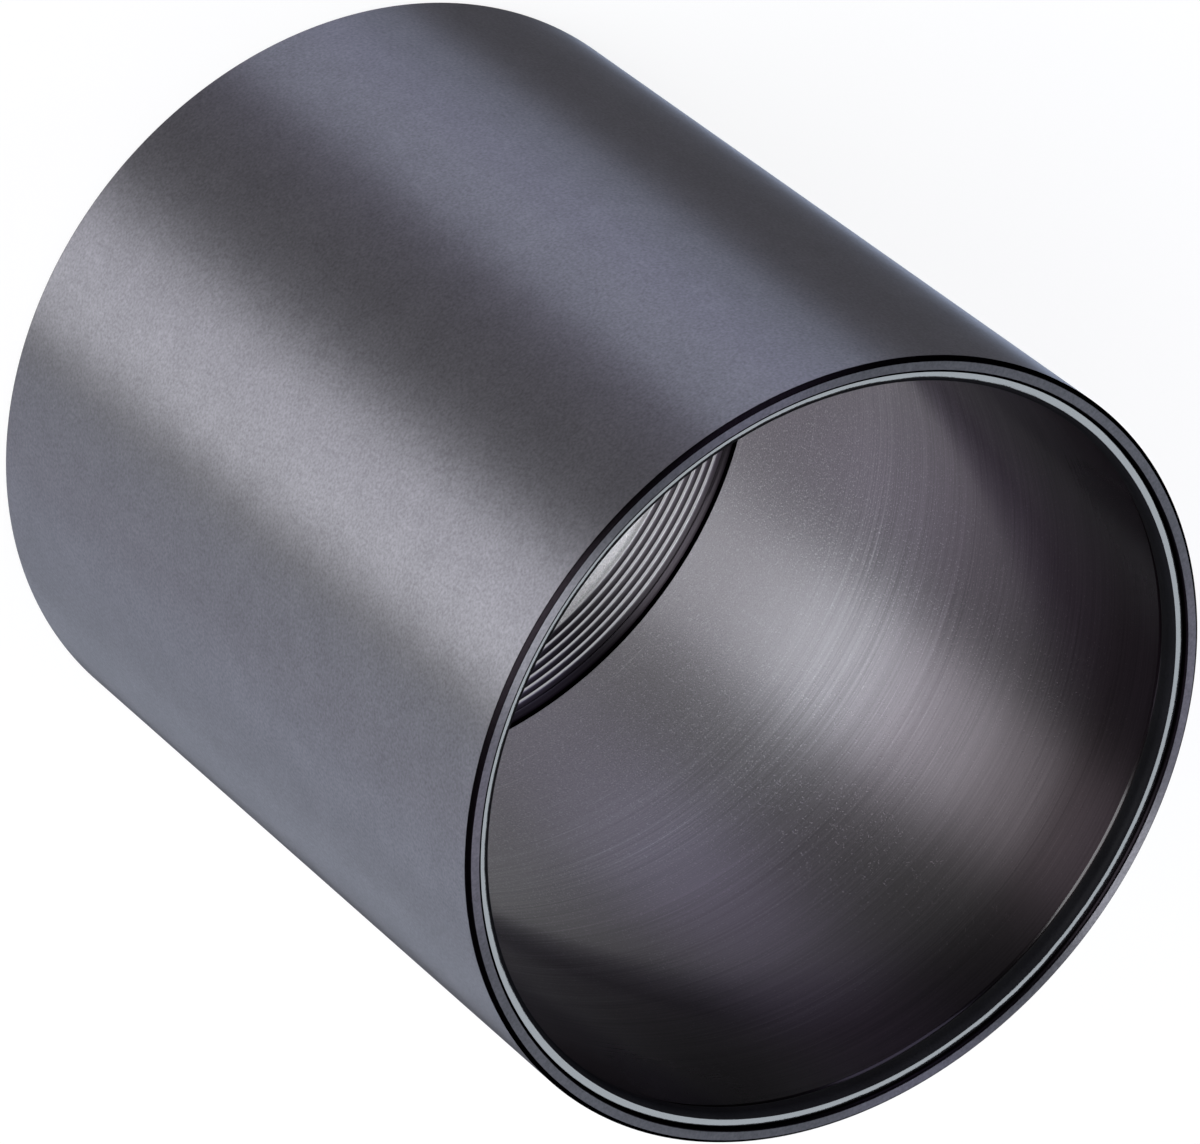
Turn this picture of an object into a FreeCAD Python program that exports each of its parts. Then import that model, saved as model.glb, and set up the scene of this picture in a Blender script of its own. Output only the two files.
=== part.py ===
import FreeCAD, Part
import math
import os

# Lens cover: a turned tube that closes in a camera lens, with a rubber sealing ring in its
# mouth and a fine internal thread at the other end.
# Millimetres. The tube stands on its threaded end. The origin is the centre of that end
# face, and +Z runs up the axis to the mouth.

# Whole tube
length = 57.0
edge_chamfer = 0.25        # outer corner of both end faces
groove_wall = 0.42         # metal left between the seal's groove and the outside

# Thread, metric fine, its profile given here by its minor diameter
thread_d = 48.0
thread_pitch = 0.75
thread_length = 5.15
relief_width = 0.3         # run-out groove between the thread and the bore
relief_depth = 0.35        # of that groove, beyond the thread's major diameter

# Plain lead-in below the thread
lead_in_depth = 3.5
lead_in_clearance = 0.2    # on radius, beyond the thread's major diameter
lead_in_chamfer = 0.4

# Bore
bore_clearance = 0.1       # on radius, beyond the thread's major diameter
bore_chamfer = 0.15        # corner between the bore and the floor of the seal's groove

# Sealing ring, as it sits in its groove
seal_section = 1.4
seal_reach = 0.19          # how far the ring stands into the bore's circle
seal_corner = 0.35         # corners of its outer half, which is pressed into the groove
seal_seat_clearance = 0.02
seal_side_clearance = 0.03

# Rounded lip that keeps the ring in
lip_overhang = 0.63        # how far the lip hides the groove
lip_round = 0.28
lip_land = 0.04            # straight edge below the round

# Radii, worked out from the thread outwards
thread_depth = 5.0 / 8.0 * thread_pitch * math.cos(math.radians(30.0))
thread_major_r = thread_d / 2.0
thread_minor_r = thread_major_r - thread_depth
relief_r = thread_major_r + relief_depth
lead_in_r = thread_major_r + lead_in_clearance
bore_r = thread_major_r + bore_clearance
seal_inner_r = bore_r - seal_reach
seal_centre_r = seal_inner_r + seal_section / 2.0
groove_r = seal_inner_r + seal_section + seal_seat_clearance
lip_r = groove_r - lip_overhang
outer_r = groove_r + groove_wall

# Heights, worked out from the two end faces inwards
thread_top_z = lead_in_depth + thread_length
relief_top_z = thread_top_z + relief_width
groove_top_z = length - lip_round - lip_land
groove_floor_z = groove_top_z - seal_section - 2.0 * seal_side_clearance
seal_centre_z = groove_floor_z + seal_side_clearance + seal_section / 2.0


def at(radius, height):
    return FreeCAD.Vector(radius, 0.0, height)


def revolved(edges):
    # The closed section, in the XZ plane, turned once about the Z axis.
    face = Part.Face(Part.Wire(edges))
    axis_point = FreeCAD.Vector(0.0, 0.0, 0.0)
    axis_direction = FreeCAD.Vector(0.0, 0.0, 1.0)
    return face.revolve(axis_point, axis_direction, 360.0)


def lip_arc():
    # Quarter round from the mouth's face down into the mouth.
    centre_r = lip_r + lip_round
    centre_z = length - lip_round
    diagonal = lip_round * math.cos(math.radians(45.0))
    start = at(centre_r, length)
    middle = at(centre_r - diagonal, centre_z + diagonal)
    end = at(lip_r, centre_z)
    return Part.Arc(start, middle, end).toShape()


def cover_tube():
    outside = [
        at(lead_in_r + lead_in_chamfer, 0.0),
        at(outer_r - edge_chamfer, 0.0),
        at(outer_r, edge_chamfer),
        at(outer_r, length - edge_chamfer),
        at(outer_r - edge_chamfer, length),
        at(lip_r + lip_round, length),
    ]
    seal_groove = [
        at(lip_r, length - lip_round),
        at(lip_r, groove_top_z),
        at(groove_r, groove_top_z),
        at(groove_r, groove_floor_z),
        at(bore_r + bore_chamfer, groove_floor_z),
        at(bore_r, groove_floor_z - bore_chamfer),
    ]
    # The thread is chamfered at 45 degrees, to its full depth, at both its ends.
    relief_and_thread = [
        at(bore_r, relief_top_z),
        at(relief_r, relief_top_z),
        at(relief_r, thread_top_z),
        at(thread_major_r, thread_top_z),
        at(thread_minor_r, thread_top_z - thread_depth),
        at(thread_minor_r, lead_in_depth + thread_depth),
        at(thread_major_r, lead_in_depth),
    ]
    lead_in = [
        at(lead_in_r, lead_in_depth),
        at(lead_in_r, lead_in_chamfer),
        at(lead_in_r + lead_in_chamfer, 0.0),
    ]
    outer_edges = Part.makePolygon(outside).Edges
    inner_edges = Part.makePolygon(seal_groove + relief_and_thread + lead_in).Edges
    return revolved(outer_edges + [lip_arc()] + inner_edges)


def seal_ring():
    # Round on the side that shows, and pressed flat on the three sides that the groove holds.
    top_z = seal_centre_z + seal_section / 2.0
    bottom_z = seal_centre_z - seal_section / 2.0
    seat_r = seal_inner_r + seal_section
    round_side = Part.Arc(
        at(seal_centre_r, top_z),
        at(seal_inner_r, seal_centre_z),
        at(seal_centre_r, bottom_z),
    )
    pressed_sides = [
        at(seal_centre_r, bottom_z),
        at(seat_r - seal_corner, bottom_z),
        at(seat_r, bottom_z + seal_corner),
        at(seat_r, top_z - seal_corner),
        at(seat_r - seal_corner, top_z),
        at(seal_centre_r, top_z),
    ]
    return revolved([round_side.toShape()] + Part.makePolygon(pressed_sides).Edges)


os.makedirs("parts", exist_ok=True)
for name, solid in (("cover_tube", cover_tube()), ("seal_ring", seal_ring())):
    solid.exportStep("parts/" + name + ".step")
    print(name, "valid", solid.isValid(), "volume", round(solid.Volume, 2))
print("outer diameter", round(2.0 * outer_r, 3), "bore", round(2.0 * bore_r, 3))
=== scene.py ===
import math

import bmesh
import bpy
from mathutils import Matrix, Vector


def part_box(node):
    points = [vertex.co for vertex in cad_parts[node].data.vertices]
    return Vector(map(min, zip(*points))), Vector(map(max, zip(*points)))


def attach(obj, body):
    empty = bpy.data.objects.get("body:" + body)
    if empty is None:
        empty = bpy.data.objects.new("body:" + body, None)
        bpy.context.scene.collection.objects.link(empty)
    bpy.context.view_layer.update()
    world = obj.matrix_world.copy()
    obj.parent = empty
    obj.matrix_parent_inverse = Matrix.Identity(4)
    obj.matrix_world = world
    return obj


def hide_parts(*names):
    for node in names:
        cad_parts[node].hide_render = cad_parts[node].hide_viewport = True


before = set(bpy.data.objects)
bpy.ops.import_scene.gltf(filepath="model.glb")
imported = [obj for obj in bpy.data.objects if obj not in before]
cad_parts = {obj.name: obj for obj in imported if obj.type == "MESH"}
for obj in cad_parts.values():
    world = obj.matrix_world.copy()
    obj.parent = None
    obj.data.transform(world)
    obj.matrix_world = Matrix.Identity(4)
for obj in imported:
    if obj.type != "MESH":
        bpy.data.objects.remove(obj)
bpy.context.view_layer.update()        # metres; the tube stands on its threaded end, +Z runs up to the mouth
scene = bpy.context.scene
millimetre = 0.001
upAxis = Vector((0.0, 0.0, 1.0))
cornerReach = 0.002 * millimetre     # how near a point has to be to count as on a turned corner
print("frame loaded")


# Camera: it looks down into the mouth, and it is rolled so that the mouth is low and to the right
cameraSetup = {
    "distance": 0.5048,          # from the middle of the mouth
    "elevation": 46.32,          # above the mouth's plane, in degrees
    "aim": (0.00028, 0.0, 0.0299),
    "roll": 128.35,              # anticlockwise turn of the picture, in degrees
    "lens": 255.95,
    "sensorWidth": 36.0,
    "clipStart": 0.01,
    "clipEnd": 20.0,
}


def makeCamera(mouthHeight):
    setup = cameraSetup
    rise = math.radians(setup["elevation"])
    back = Vector((0.0, -math.cos(rise), math.sin(rise)))
    data = bpy.data.cameras.new("lensCoverCamera")
    data.lens = setup["lens"]
    data.sensor_width = setup["sensorWidth"]
    data.clip_start = setup["clipStart"]
    data.clip_end = setup["clipEnd"]
    camera = bpy.data.objects.new("lensCoverCamera", data)
    scene.collection.objects.link(camera)
    place = Vector((0.0, 0.0, mouthHeight)) + back * setup["distance"]
    look = (Vector(setup["aim"]) - place).to_track_quat("-Z", "Y").to_matrix()
    turn = Matrix.Rotation(math.radians(setup["roll"]), 3, "Z")
    camera.matrix_world = Matrix.Translation(place) @ (look @ turn).to_4x4()
    scene.camera = camera


# Cover tube
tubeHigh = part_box("cover_tube")[1]
tubeShape = {
    "length": tubeHigh.z,
    "outerRadius": 25.75 * millimetre,
    "edgeChamfer": 0.25 * millimetre,
    "lipRadius": 24.7 * millimetre,
    "lipRound": 0.28 * millimetre,
    "lipLand": 0.04 * millimetre,
    "grooveRadius": 25.33 * millimetre,
    "grooveHeight": 1.46 * millimetre,
    "boreRadius": 24.1 * millimetre,
    "boreChamfer": 0.15 * millimetre,
    "reliefRadius": 24.35 * millimetre,
    "reliefWidth": 0.3 * millimetre,
    "leadInRadius": 24.2 * millimetre,
    "leadInDepth": 3.5 * millimetre,
    "leadInChamfer": 0.4 * millimetre,
    "brokenEdge": 0.03 * millimetre,     # how far each turned corner is rubbed round
    "lipRoundSteps": 8,
    "brokenEdgeSteps": 2,
    "stepsAround": 288,
    "mergeGap": 0.003 * millimetre,
    "sharpAngle": 40.0,
    "paintedShadeMargin": 0.02 * millimetre,     # how far the painted shade on the edges reaches past the chamfer
    "paintedShadeDepth": 1.75 * millimetre,      # how far below the mouth the lip and the groove get painted shade
    "boreStart": 1.7 * millimetre,       # below the mouth
    "faceMargin": 0.01 * millimetre,     # slack when a face is told apart by its radius
    "levelFace": 0.99,                   # a face whose normal's height is more than this gets no painted shade
}
threadShape = {
    "majorRadius": 24.0 * millimetre,
    "pitch": 0.75 * millimetre,
    "length": 5.15 * millimetre,
    "crestHeight": 3.937 * millimetre,   # middle of a crest on the +Y side
    "crestRound": 0.03 * millimetre,
    "crestRoundSteps": 3,
    "flankAngle": 30.0,                  # half of the angle between two flanks
    "flankCuts": 2,
    "spareTurns": 2.0,                   # beyond each end, flattened by the cones
    "crestDepth": 0.406 * millimetre,    # inward from the major radius to the crest, where the painted highlight is brightest
}


def sectionPoint(radius, height):
    return Vector((0.0, radius, height))


def drawSection(bm, points):
    corners = [bm.verts.new(sectionPoint(radius, height)) for radius, height in points]
    return [bm.edges.new(pair) for pair in zip(corners, corners[1:])]


def spinSection(bm, edges, steps, rise=0.0, fullTurn=True):
    corners = list({corner for edge in edges for corner in edge.verts})
    bmesh.ops.spin(bm, geom=corners + edges, cent=(0.0, 0.0, 0.0), axis=upAxis,
                   dvec=(0.0, 0.0, rise / steps), angle=math.tau, steps=steps,
                   use_merge=fullTurn, use_duplicate=False)


def bevelCorner(bm, radius, height, width, segments):
    # Breaks the turned corner that runs round at this radius and height
    def onCorner(corner):
        sideways = abs(corner.co.xy.length - radius)
        return sideways < cornerReach and abs(corner.co.z - height) < cornerReach

    edges = [edge for edge in bm.edges if all(onCorner(corner) for corner in edge.verts)]
    bmesh.ops.bevel(bm, geom=edges, offset=width, offset_type="OFFSET", affect="EDGES",
                    segments=segments, profile=0.5, material=-1)


def finishMesh(bm, name, materials, sharpAngle):
    bmesh.ops.recalc_face_normals(bm, faces=bm.faces)
    for face in bm.faces:
        face.smooth = True
    mesh = bpy.data.meshes.new(name)
    bm.to_mesh(mesh)
    bm.free()
    mesh.set_sharp_from_angle(angle=math.radians(sharpAngle))
    for material in materials:
        mesh.materials.append(material)
    piece = bpy.data.objects.new(name, mesh)
    scene.collection.objects.link(piece)
    # Broad faces keep straight normals beside their small broken edges
    weights = piece.modifiers.new("straightNormals", "WEIGHTED_NORMAL")
    weights.keep_sharp = True
    weights.weight = 80      # of 100, towards the bigger face
    bpy.context.view_layer.objects.active = piece
    bpy.ops.object.modifier_apply(modifier=weights.name)
    return piece


def threadCoil(steps):
    # One pitch of the section is spun up one turn and the turns are stacked. Both ends run out in
    # 45 degree cones. A metric profile: its depth is 5/8 and its flats are 1/8 of the sharp form's.
    shape = threadShape
    pitch = shape["pitch"]
    slope = math.radians(shape["flankAngle"])
    depth = 5.0 / 8.0 * pitch * math.cos(slope)
    flank = depth * math.tan(slope)
    minorRadius = shape["majorRadius"] - depth
    bottom = tubeShape["leadInDepth"]
    top = bottom + shape["length"]
    crestHalf = pitch / 8.0
    turnsBelow = math.ceil((shape["crestHeight"] - bottom) / pitch + shape["spareTurns"])
    start = shape["crestHeight"] - turnsBelow * pitch
    section = [
        (minorRadius, start - crestHalf),
        (minorRadius, start + crestHalf),
        (shape["majorRadius"], start + crestHalf + flank),
        (shape["majorRadius"], start + crestHalf + flank + pitch / 8.0),
        (minorRadius, start - crestHalf + pitch),
    ]
    bm = bmesh.new()
    edges = drawSection(bm, section)
    bmesh.ops.subdivide_edges(bm, edges=edges, cuts=shape["flankCuts"])
    # The crest's upper corner, where edges of two lengths meet, is rubbed round
    crest = [corner for corner in bm.verts if corner.co.xy.length < minorRadius + cornerReach
             and len({round(edge.calc_length(), 7) for edge in corner.link_edges}) == 2]
    bmesh.ops.bevel(bm, geom=crest, offset=shape["crestRound"], offset_type="OFFSET",
                    affect="VERTICES", segments=shape["crestRoundSteps"], profile=0.5, material=-1)
    print("thread section edges", len(bm.edges))
    spinSection(bm, list(bm.edges), steps, rise=pitch, fullTurn=False)
    oneTurn = bm.verts[:] + bm.edges[:] + bm.faces[:]
    turns = math.ceil((top - start) / pitch + shape["spareTurns"])
    for turn in range(1, turns):
        copy = bmesh.ops.duplicate(bm, geom=oneTurn)
        moved = [item for item in copy["geom"] if isinstance(item, bmesh.types.BMVert)]
        bmesh.ops.translate(bm, verts=moved, vec=(0.0, 0.0, turn * pitch))
    bmesh.ops.remove_doubles(bm, verts=bm.verts, dist=tubeShape["mergeGap"])
    for corner in bm.verts:
        corner.co.z = min(max(corner.co.z, bottom), top)
        cone = shape["majorRadius"] - min(corner.co.z - bottom, top - corner.co.z)
        radius = corner.co.xy.length
        if radius < cone:
            corner.co.xy *= cone / radius
    bmesh.ops.remove_doubles(bm, verts=bm.verts, dist=tubeShape["mergeGap"])
    return bm


def tubeMesh():
    shape = tubeShape
    length = shape["length"]
    outer = shape["outerRadius"]
    grooveTop = length - shape["lipRound"] - shape["lipLand"]
    grooveFloor = grooveTop - shape["grooveHeight"]
    threadTop = shape["leadInDepth"] + threadShape["length"]
    reliefTop = threadTop + shape["reliefWidth"]
    boreRadius = shape["boreRadius"]
    corners = [
        (threadShape["majorRadius"], shape["leadInDepth"]),
        (shape["leadInRadius"], shape["leadInDepth"]),
        (shape["leadInRadius"], shape["leadInChamfer"]),
        (shape["leadInRadius"] + shape["leadInChamfer"], 0.0),
        (outer - shape["edgeChamfer"], 0.0),
        (outer, shape["edgeChamfer"]),
        (outer, length - shape["edgeChamfer"]),
        (outer - shape["edgeChamfer"], length),
        (shape["lipRadius"], length),
        (shape["lipRadius"], grooveTop),
        (shape["grooveRadius"], grooveTop),
        (shape["grooveRadius"], grooveFloor),
        (boreRadius + shape["boreChamfer"], grooveFloor),
        (boreRadius, grooveFloor - shape["boreChamfer"]),
        (boreRadius, reliefTop),
        (shape["reliefRadius"], reliefTop),
        (shape["reliefRadius"], threadTop),
        (threadShape["majorRadius"], threadTop),
    ]
    bm = threadCoil(shape["stepsAround"])
    wall = bmesh.new()
    spinSection(wall, drawSection(wall, corners), shape["stepsAround"])
    bevelCorner(wall, shape["lipRadius"], length, shape["lipRound"], shape["lipRoundSteps"])
    rubbed = corners[2:8] + corners[11:16]      # all but those at the thread and under the lip
    for radius, height in rubbed:
        bevelCorner(wall, radius, height, shape["brokenEdge"], shape["brokenEdgeSteps"])
    wallMesh = bpy.data.meshes.new("wall")
    wall.to_mesh(wallMesh)
    wall.free()
    bm.from_mesh(wallMesh)
    bpy.data.meshes.remove(wallMesh)
    bmesh.ops.remove_doubles(bm, verts=bm.verts, dist=tubeShape["mergeGap"])
    return bm


def makeTube(materials):
    # Slots: 0 the outside, 1 the bore, 2 the thread and 3 the edges with painted shade
    shape = tubeShape
    bm = tubeMesh()
    length = shape["length"]
    threadTop = shape["leadInDepth"] + threadShape["length"]
    chamferRadius = shape["outerRadius"] - shape["edgeChamfer"] - shape["paintedShadeMargin"]
    chamferHeight = shape["edgeChamfer"] + shape["paintedShadeMargin"]
    grooveReach = shape["grooveRadius"] + shape["faceMargin"]
    reliefReach = shape["reliefRadius"] + shape["faceMargin"]
    bmesh.ops.recalc_face_normals(bm, faces=bm.faces)
    for face in bm.faces:
        middle = face.calc_center_median()
        radius = middle.xy.length
        nearEnd = not chamferHeight < middle.z < length - chamferHeight
        onChamfer = radius > chamferRadius and nearEnd
        inMouth = radius < grooveReach and middle.z > length - shape["paintedShadeDepth"]
        # The chamfers, the lip and the groove take the painted shade of slot 3
        if (onChamfer or inMouth) and abs(face.normal.z) < shape["levelFace"]:
            face.material_index = 3
        if radius < shape["lipRadius"] and middle.z < length - shape["boreStart"]:
            inThread = shape["leadInDepth"] < middle.z < threadTop + shape["reliefWidth"]
            face.material_index = 2 if inThread and radius < reliefReach else 1
    openEdges = [edge for edge in bm.edges if not edge.is_manifold]
    print("tube faces", len(bm.faces), "open edges", len(openEdges))
    return finishMesh(bm, "coverTube", materials, shape["sharpAngle"])


# Sealing ring
ringShape = {
    "innerRadius": 23.91 * millimetre,
    "section": 1.4 * millimetre,
    "seatCorner": 0.35 * millimetre,
    "height": 55.95 * millimetre,        # middle of the section
    "innerCorner": 0.55 * millimetre,    # a little squarer than a true round, pressed by the lip
    "innerCornerSteps": 14,
    "seatCornerSteps": 2,
    "greaseAngle": 71.0,                 # faces that look up more steeply are wet with grease
    "stepsAround": 288,
    "mergeGap": 0.002 * millimetre,
    "sharpAngle": 60.0,
}


def makeRing(materials):
    # Slots: 0 the dry rubber and 1 the greased rubber, under the lip
    shape = ringShape
    half = shape["section"] / 2.0
    middle = shape["innerRadius"] + half
    seat = shape["innerRadius"] + shape["section"]
    bm = bmesh.new()
    corners = [
        (middle, shape["height"] - half),
        (seat, shape["height"] - half),
        (seat, shape["height"] + half),
        (middle, shape["height"] + half),
        (shape["innerRadius"], shape["height"] + half),
        (shape["innerRadius"], shape["height"] - half),
    ]
    edges = drawSection(bm, corners)
    first, last = edges[0].verts[0], edges[-1].verts[1]
    edges.append(bm.edges.new((last, first)))
    spinSection(bm, edges, shape["stepsAround"])
    for height in (shape["height"] - half, shape["height"] + half):
        bevelCorner(bm, shape["innerRadius"], height, shape["innerCorner"], shape["innerCornerSteps"])
        bevelCorner(bm, seat, height, shape["seatCorner"], shape["seatCornerSteps"])
    bmesh.ops.remove_doubles(bm, verts=bm.verts, dist=shape["mergeGap"])
    bmesh.ops.recalc_face_normals(bm, faces=bm.faces)
    greased = math.sin(math.radians(shape["greaseAngle"]))
    for face in bm.faces:
        face.material_index = 1 if face.normal.z > greased else 0
    print("ring faces", len(bm.faces))
    return finishMesh(bm, "sealRing", materials, shape["sharpAngle"])


# Materials
def newMaterial(name):
    material = bpy.data.materials.new(name)
    material.use_nodes = True
    nodes = material.node_tree.nodes
    nodes.clear()
    output = nodes.new("ShaderNodeOutputMaterial")
    shader = nodes.new("ShaderNodeBsdfPrincipled")
    material.node_tree.links.new(shader.outputs["BSDF"], output.inputs["Surface"])
    return material, nodes, material.node_tree.links, shader


# Metal: colours as they are seen head on. Down the bore the colour holds painted shade near the mouth and
# painted light further down.
anodisedLook = {
    "wallColour": (0.158, 0.153, 0.17),
    "borePaintedLight": (                     # depth below the mouth, as a share of the tube, and colour with painted shade and painted light
        (0.045, (0.026, 0.02, 0.023)),
        (0.135, (0.047, 0.039, 0.043)),
        (0.27, (0.118, 0.105, 0.116)),
        (0.405, (0.222, 0.205, 0.227)),
        (0.54, (0.355, 0.345, 0.373)),
        (0.86, (0.4, 0.385, 0.415)),
        (0.95, (0.8, 0.8, 0.83)),
    ),
    "threadHighlightAndShade": (                   # from the crest to the floor of the run-out groove: painted highlight, then painted shade
        (0.0, (0.5, 0.5, 0.53)),
        (0.025, (0.4, 0.4, 0.42)),
        (0.08, (0.1, 0.095, 0.105)),
        (0.4, (0.04, 0.035, 0.04)),
        (0.55, (0.01, 0.007, 0.01)),
        (1.0, (0.006, 0.004, 0.005)),
    ),
    "paintedEdgeShade": (0.005, 0.004, 0.005),     # chamfers, lip and groove: painted shade, near black
    "wallRoughness": 0.5,
    "boreRoughness": 0.56,
    "threadRoughness": 0.34,
    "edgeRoughness": 0.3,
    "turnedSpread": 1.0,                 # how much reflections spread along the tube
    "threadSpread": 0.6,
    "turnedTint": 0.3,                   # brightness left at a grazing angle
    "edgeTint": 0.1,
    "boreCoat": 0.5,                     # thin film of oil in the bore
    "boreCoatRoughness": 0.15,
}
# Fine marks: how often they come, per metre along x, y and z, the noise's detail, the part of it
# that counts, how much they change the colour, and how deep they are
noiseMiddle = 0.5
wallMarks = {
    "grain": ((5500.0, 5500.0, 5500.0), 3.0, (0.25, 0.75), (0.78, 1.22), 2.0e-6),
    "mottle": ((420.0, 420.0, 420.0), 2.0, (0.25, 0.75), (0.95, 1.05), 0.0),
}
boreMarks = {
    "turningLines": ((70.0, 70.0, 7500.0), 3.0, (0.25, 0.75), (0.8, 1.2), 2.0e-6),
    "toolMarks": ((35.0, 35.0, 2300.0), 0.0, (0.25, 0.75), (0.965, 1.035), 0.0),
    "scratches": ((130.0, 130.0, 6500.0), 0.0, (0.74, 0.82), (1.0, 1.25), 0.0),
    "grain": ((9000.0, 9000.0, 9000.0), 2.0, (0.25, 0.75), (0.8, 1.2), 1.2e-6),
    "sparkle": ((8500.0, 8500.0, 8500.0), 0.0, (0.64, 0.74), (1.0, 1.32), 9.0e-6),
}
boreFinish = {
    "linesEnd": 21.3 * millimetre,       # height where the turning lines give way to satin
    "linesFade": 3.0 * millimetre,
    "satinLines": 0.15,                  # share of the lines that is left in the satin
    "linedGrain": 0.35,                  # share of the grain that is left among the lines
    "mouthSparkle": 0.55,                # share of the sparkle that is left at the mouth
}


def metalMaterial(name, roughness, tint):
    material, nodes, links, shader = newMaterial(name)
    shader.inputs["Metallic"].default_value = 1.0
    shader.inputs["Roughness"].default_value = roughness
    shader.inputs["Specular Tint"].default_value = (tint, tint, tint, 1.0)
    return material, nodes, links, shader


def turnedMaterial(name, roughness, spread):
    # A turned surface spreads its reflections along the tube, across the tool marks
    material, nodes, links, shader = metalMaterial(name, roughness, anodisedLook["turnedTint"])
    shader.inputs["Anisotropic"].default_value = spread
    shader.inputs["Anisotropic Rotation"].default_value = 0.25   # a quarter turn, to lie along the axis
    tangent = nodes.new("ShaderNodeTangent")
    tangent.direction_type = "RADIAL"
    tangent.axis = "Z"
    links.new(tangent.outputs["Tangent"], shader.inputs["Tangent"])
    return material, nodes, links, shader


def mathNode(nodes, links, operation, first, second):
    node = nodes.new("ShaderNodeMath")
    node.operation = operation
    for slot, value in enumerate((first, second)):
        if isinstance(value, float):
            node.inputs[slot].default_value = value
        else:
            links.new(value, node.inputs[slot])
    return node.outputs[0]


def rangeNode(nodes, links, value, fromRange, toRange):
    node = nodes.new("ShaderNodeMapRange")
    node.inputs["From Min"].default_value, node.inputs["From Max"].default_value = fromRange
    node.inputs["To Min"].default_value, node.inputs["To Max"].default_value = toRange
    links.new(value, node.inputs["Value"])
    return node.outputs["Result"]


def noiseNode(nodes, links, place, scales, detail):
    # Noise that is stretched by its own scale along each axis
    stretch = nodes.new("ShaderNodeMapping")
    stretch.inputs["Scale"].default_value = scales
    links.new(place.outputs["Object"], stretch.inputs["Vector"])
    noise = nodes.new("ShaderNodeTexNoise")
    noise.inputs["Scale"].default_value = 1.0
    noise.inputs["Detail"].default_value = detail
    links.new(stretch.outputs["Vector"], noise.inputs["Vector"])
    return noise.outputs["Fac"]


def colourRamp(nodes, links, value, stops):
    ramp = nodes.new("ShaderNodeValToRGB")
    ramp.color_ramp.interpolation = "CARDINAL"
    elements = ramp.color_ramp.elements
    while len(elements) < len(stops):
        elements.new(0.5)
    for element, (share, colour) in zip(elements, stops):
        element.position = share
        element.color = (*colour, 1.0)
    links.new(value, ramp.inputs["Fac"])
    return ramp.outputs["Color"]


def scaledColour(nodes, links, colour, factor):
    node = nodes.new("ShaderNodeVectorMath")
    node.operation = "SCALE"
    if isinstance(colour, tuple):
        node.inputs[0].default_value = colour
    else:
        links.new(colour, node.inputs[0])
    links.new(factor, node.inputs["Scale"])
    return node.outputs["Vector"]


def bumpNode(nodes, links, height, depth, before=None):
    node = nodes.new("ShaderNodeBump")
    node.inputs["Strength"].default_value = 1.0
    node.inputs["Distance"].default_value = depth
    links.new(height, node.inputs["Height"])
    if before:
        links.new(before, node.inputs["Normal"])
    return node.outputs["Normal"]


def markedSurface(nodes, links, shader, place, colour, marks, masks):
    # Each kind of mark lightens and darkens the colour and leaves its own relief
    normal = None
    for name, (scales, detail, counted, tone, depth) in marks.items():
        noise = noiseNode(nodes, links, place, scales, detail)
        if name in masks:
            # The mask draws the noise towards its middle, where there is no mark
            offset = mathNode(nodes, links, "SUBTRACT", noise, noiseMiddle)
            noise = mathNode(nodes, links, "MULTIPLY_ADD", offset, masks[name])
            noise.node.inputs[2].default_value = noiseMiddle
        mark = rangeNode(nodes, links, noise, counted, (0.0, 1.0))
        colour = scaledColour(nodes, links, colour, rangeNode(nodes, links, mark, (0.0, 1.0), tone))
        if depth:
            normal = bumpNode(nodes, links, mark, depth, normal)
    links.new(colour, shader.inputs["Base Color"])
    links.new(normal, shader.inputs["Normal"])


def anodisedMaterial():
    look = anodisedLook
    material, nodes, links, shader = turnedMaterial(
        "anodisedAluminium", look["wallRoughness"], look["turnedSpread"])
    place = nodes.new("ShaderNodeTexCoord")
    markedSurface(nodes, links, shader, place, look["wallColour"], wallMarks, {})
    return material


def boreMaterial():
    look = anodisedLook
    material, nodes, links, shader = turnedMaterial(
        "boreFinish", look["boreRoughness"], look["turnedSpread"])
    shader.inputs["Coat Weight"].default_value = look["boreCoat"]
    shader.inputs["Coat Roughness"].default_value = look["boreCoatRoughness"]
    place = nodes.new("ShaderNodeTexCoord")
    split = nodes.new("ShaderNodeSeparateXYZ")
    links.new(place.outputs["Object"], split.inputs[0])
    height = split.outputs["Z"]
    mouth = tubeShape["length"]
    depth = rangeNode(nodes, links, height, (mouth, 0.0), (0.0, 1.0))
    # Colour by depth: painted shade near the mouth and painted light further down the bore
    colour = colourRamp(nodes, links, depth, look["borePaintedLight"])
    finish = boreFinish
    end, fade = finish["linesEnd"], finish["linesFade"]
    change = (end - fade, end + fade)
    lines = rangeNode(nodes, links, height, change, (finish["satinLines"], 1.0))
    grain = rangeNode(nodes, links, height, change, (1.0, finish["linedGrain"]))
    sparkle = rangeNode(nodes, links, height, (end, mouth), (1.0, finish["mouthSparkle"]))
    masks = {"turningLines": lines, "toolMarks": lines, "grain": grain, "sparkle": sparkle}
    markedSurface(nodes, links, shader, place, colour, boreMarks, masks)
    return material


def edgeMaterial():
    # Near black colour: painted shade on the chamfers, the lip and the groove
    look = anodisedLook
    material, nodes, links, shader = metalMaterial(
        "edgeWithPaintedShade", look["edgeRoughness"], look["edgeTint"])
    place = nodes.new("ShaderNodeTexCoord")
    markedSurface(nodes, links, shader, place, look["paintedEdgeShade"], wallMarks, {})
    return material


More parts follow.
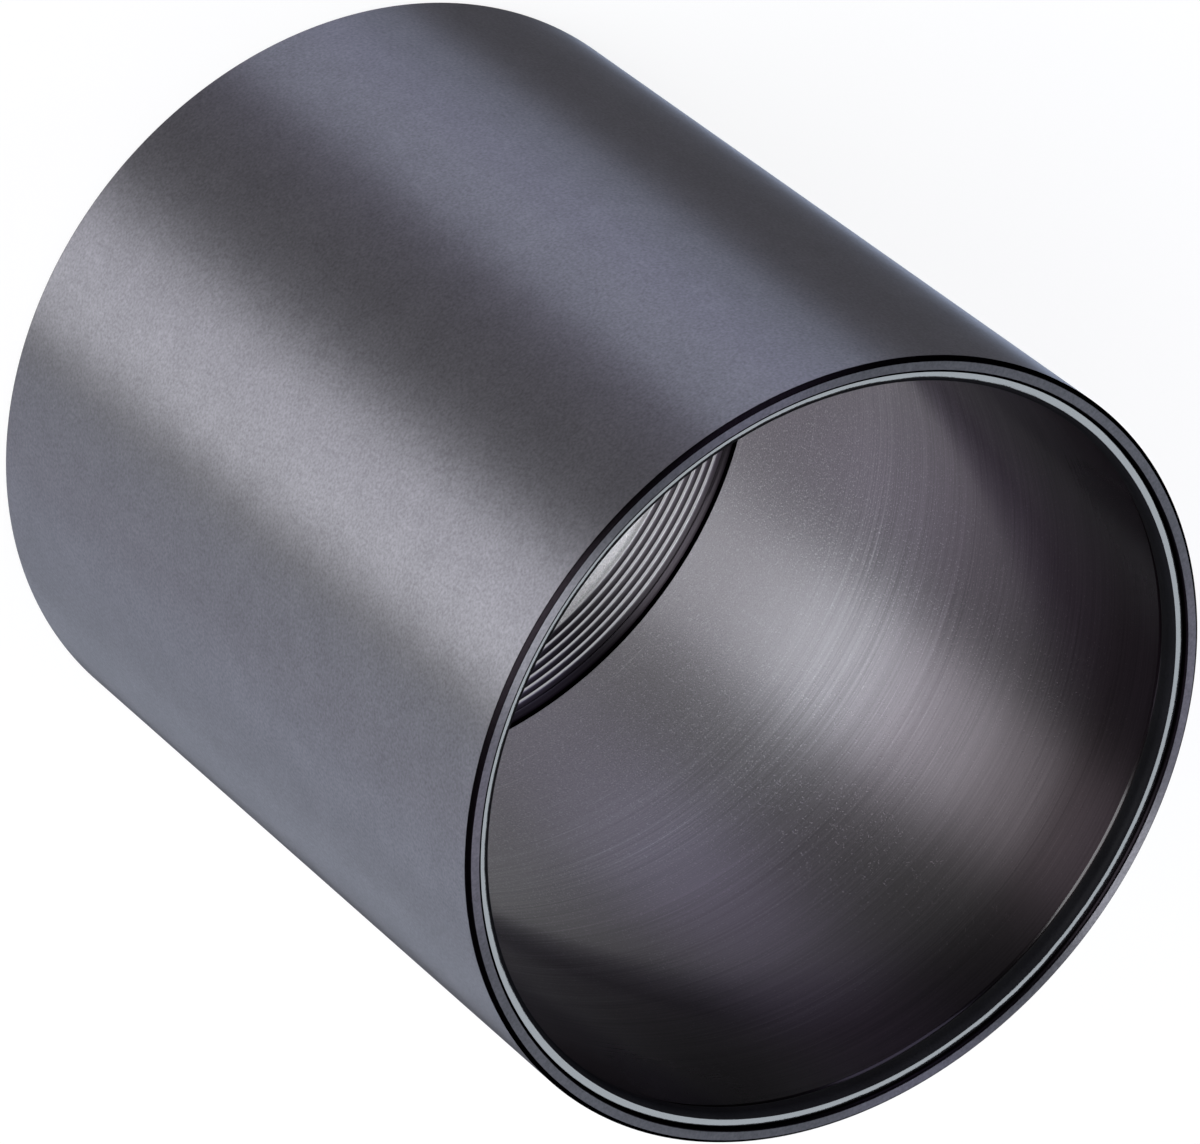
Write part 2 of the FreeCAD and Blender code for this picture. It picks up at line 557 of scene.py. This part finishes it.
def threadMaterial():
    # Painted highlight on the crests, and painted shade in the roots and the run-out groove
    look = anodisedLook
    material, nodes, links, shader = turnedMaterial(
        "threadFinishWithPaintedLight", look["threadRoughness"], look["threadSpread"])
    place = nodes.new("ShaderNodeTexCoord")
    flat = nodes.new("ShaderNodeVectorMath")
    flat.operation = "MULTIPLY"
    flat.inputs[1].default_value = (1.0, 1.0, 0.0)
    links.new(place.outputs["Object"], flat.inputs[0])
    radius = nodes.new("ShaderNodeVectorMath")
    radius.operation = "LENGTH"
    links.new(flat.outputs["Vector"], radius.inputs[0])
    crestRadius = threadShape["majorRadius"] - threadShape["crestDepth"]
    radii = (crestRadius, tubeShape["reliefRadius"])
    share = rangeNode(nodes, links, radius.outputs["Value"], radii, (0.0, 1.0))
    colour = colourRamp(nodes, links, share, look["threadHighlightAndShade"])
    links.new(colour, shader.inputs["Base Color"])
    return material


# Dry rubber, and the same rubber with a film of grease: roughness, index
rubberColour = (0.006, 0.006, 0.007)
rubberLooks = {"dryRubber": (0.5, 1.1), "greasedRubber": (0.16, 2.6)}
rubberMarks = {
    "waves": ((300.0, 300.0, 300.0), 1.0, (0.25, 0.75), (0.85, 1.15), 8.0e-5),
    "skin": ((7000.0, 7000.0, 7000.0), 2.0, (0.25, 0.75), (0.8, 1.25), 3.0e-6),
}


def rubberMaterial(name):
    material, nodes, links, shader = newMaterial(name)
    roughness, index = rubberLooks[name]
    shader.inputs["Roughness"].default_value = roughness
    shader.inputs["IOR"].default_value = index
    place = nodes.new("ShaderNodeTexCoord")
    markedSurface(nodes, links, shader, place, rubberColour, rubberMarks, {})
    return material


# Studio: a white floor, a white surround and soft lamps
studio = {
    "floorSize": 6.0,
    "floorColour": (0.9, 0.9, 0.9, 1.0),
    "floorRoughness": 0.9,
    "floorGlow": 0.86,                   # share of plain white that is seen in place of the lit floor
    "worldLight": 0.02,
    "horizonBand": (0.02, 0.05),         # sines of the elevations between which the horizon fades
}


def floorMaterial():
    material, nodes, links, shader = newMaterial("paleFloor")
    shader.inputs["Base Color"].default_value = studio["floorColour"]
    shader.inputs["Roughness"].default_value = studio["floorRoughness"]
    shader.inputs["Specular IOR Level"].default_value = 0.0
    rays = nodes.new("ShaderNodeLightPath").outputs
    seen = mathNode(nodes, links, "ADD", rays["Is Camera Ray"], rays["Is Glossy Ray"])
    seen = mathNode(nodes, links, "ADD", seen, rays["Is Transmission Ray"])
    seen.node.use_clamp = True
    share = mathNode(nodes, links, "MULTIPLY", seen, studio["floorGlow"])
    glow = nodes.new("ShaderNodeEmission")
    mix = nodes.new("ShaderNodeMixShader")
    links.new(share, mix.inputs["Fac"])
    links.new(shader.outputs["BSDF"], mix.inputs[1])
    links.new(glow.outputs["Emission"], mix.inputs[2])
    output = next(node for node in nodes if node.type == "OUTPUT_MATERIAL")
    links.new(mix.outputs["Shader"], output.inputs["Surface"])
    return material


def makeFloor():
    half = studio["floorSize"] / 2.0
    bm = bmesh.new()
    bmesh.ops.create_grid(bm, x_segments=1, y_segments=1, size=half)
    mesh = bpy.data.meshes.new("floor")
    bm.to_mesh(mesh)
    bm.free()
    mesh.materials.append(floorMaterial())
    floor = bpy.data.objects.new("floor", mesh)
    scene.collection.objects.link(floor)


def makeWorld():
    # White to the camera and through glass. In reflections, a low white horizon under a dim ceiling.
    world = bpy.data.worlds.new("studioWorld")
    scene.world = world
    world.use_nodes = True
    nodes = world.node_tree.nodes
    links = world.node_tree.links
    nodes.clear()
    output = nodes.new("ShaderNodeOutputWorld")
    sky = nodes.new("ShaderNodeBackground")
    rays = nodes.new("ShaderNodeLightPath").outputs
    place = nodes.new("ShaderNodeTexCoord")
    split = nodes.new("ShaderNodeSeparateXYZ")
    links.new(place.outputs["Generated"], split.inputs[0])
    levels = (1.0, studio["worldLight"])
    band = rangeNode(nodes, links, split.outputs["Z"], studio["horizonBand"], levels)
    seen = mathNode(nodes, links, "MAXIMUM", rays["Is Camera Ray"], rays["Is Transmission Ray"])
    strength = mathNode(nodes, links, "MAXIMUM", seen, band)
    links.new(strength, sky.inputs["Strength"])
    links.new(sky.outputs["Background"], output.inputs["Surface"])


# Each lamp: azimuth from the camera's side towards +X, elevation, distance, width, height,
# radiance, colour
lamps = {
    "keySoftbox": (22.0, 39.0, 1.2, 0.62, 1.12, 8.4, (0.96, 0.98, 1.0)),
    "leftSoftbox": (-56.0, 40.0, 1.2, 0.55, 1.0, 2.05, (0.73, 0.68, 1.0)),
    "rightSoftbox": (90.0, 56.0, 1.2, 0.7, 0.5, 2.15, (0.9, 0.76, 1.0)),
    "backSoftbox": (180.0, 58.0, 1.2, 1.2, 1.0, 1.9, (0.84, 0.92, 1.0)),
}
# Strips that stand on the floor close by: azimuth, width, radiance, colour
floorStrips = {
    "keyStrip": (32.0, 0.115, 4.5, (0.91, 1.0, 0.83)),
    "rightStripA": (56.0, 0.13, 9.1, (0.82, 0.94, 1.0)),
    "rightStripB": (81.0, 0.13, 11.4, (0.79, 0.92, 1.0)),
    "rightStripC": (105.0, 0.115, 13.9, (0.81, 0.92, 1.0)),
    "leftStripA": (-47.0, 0.09, 7.9, (0.78, 0.95, 1.0)),
    "leftStripB": (-67.0, 0.12, 9.6, (0.7, 0.81, 1.0)),
    "rimStrip": (-123.0, 0.06, 30.0, (0.63, 0.8, 1.0)),
}
stripPlace = {"distance": 0.3, "height": 0.05, "middle": 0.027}


def makeLamp(name, azimuth, elevation, distance, width, height, radiance, colour):
    data = bpy.data.lights.new(name, "AREA")
    data.shape = "RECTANGLE"
    data.size = width
    data.size_y = height
    data.color = colour
    data.energy = radiance * width * height * math.pi   # watts for this radiance
    lamp = bpy.data.objects.new(name, data)
    lamp.visible_camera = False
    scene.collection.objects.link(lamp)
    side, rise = math.radians(azimuth), math.radians(elevation)
    towards = Vector((math.sin(side) * math.cos(rise),
                      -math.cos(side) * math.cos(rise),
                      math.sin(rise)))
    look = (-towards).to_track_quat("-Z", "Y").to_matrix().to_4x4()
    lamp.matrix_world = Matrix.Translation(towards * distance) @ look
    return lamp


def makeStrip(name, azimuth, width, radiance, colour):
    place = stripPlace
    strip = makeLamp(name, azimuth, 0.0, place["distance"], width, place["height"], radiance, colour)
    strip.location.z = place["middle"]


makeCamera(tubeHigh.z)
makeFloor()
makeWorld()
for lampName, lampValues in lamps.items():
    makeLamp(lampName, *lampValues)
for stripName, stripValues in floorStrips.items():
    makeStrip(stripName, *stripValues)
scene.view_settings.view_transform = "Standard"
print("studio made")

coverTube = makeTube([anodisedMaterial(), boreMaterial(), threadMaterial(), edgeMaterial()])
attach(coverTube, "root")
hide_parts("cover_tube")
sealRing = makeRing([rubberMaterial(name) for name in rubberLooks])
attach(sealRing, "root")
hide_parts("seal_ring")
print("pieces made")
